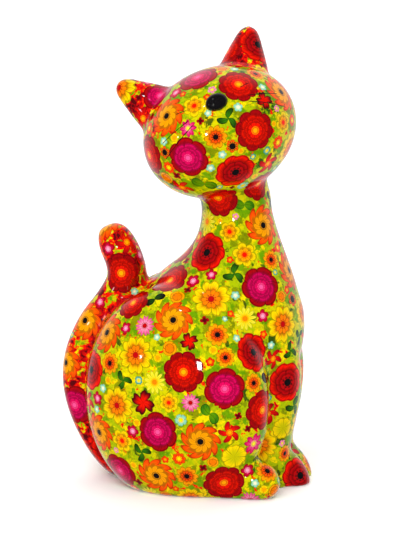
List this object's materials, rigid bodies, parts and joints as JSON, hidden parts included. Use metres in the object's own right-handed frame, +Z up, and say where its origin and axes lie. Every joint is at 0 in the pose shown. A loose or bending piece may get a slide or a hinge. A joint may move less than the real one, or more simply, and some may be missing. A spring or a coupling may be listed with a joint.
{
  "type": "cat coin bank",
  "caption": "Hollow glazed earthenware bank in the form of a sitting cat with its head turned, a coin slot down the nape and a rubber stopper in the underside.",
  "frame": {"origin": "on the table, under the middle of the cat's bounding box", "axes": "+X is where the chest and forepaws point, +Y is the cat's left, +Z is up; the face is turned to the cat's right, -Y"},
  "size_m": [0.1277, 0.1012, 0.2302],
  "materials": {
    "glazed_body": "clear gloss glaze over an all-over flower print on lime green earthenware",
    "stopper_rubber": "matt moulded rubber"
  },
  "bodies": {
    "root": {"cat_body": "glazed_body", "stopper": "stopper_rubber"}
  },
  "joints": []
}
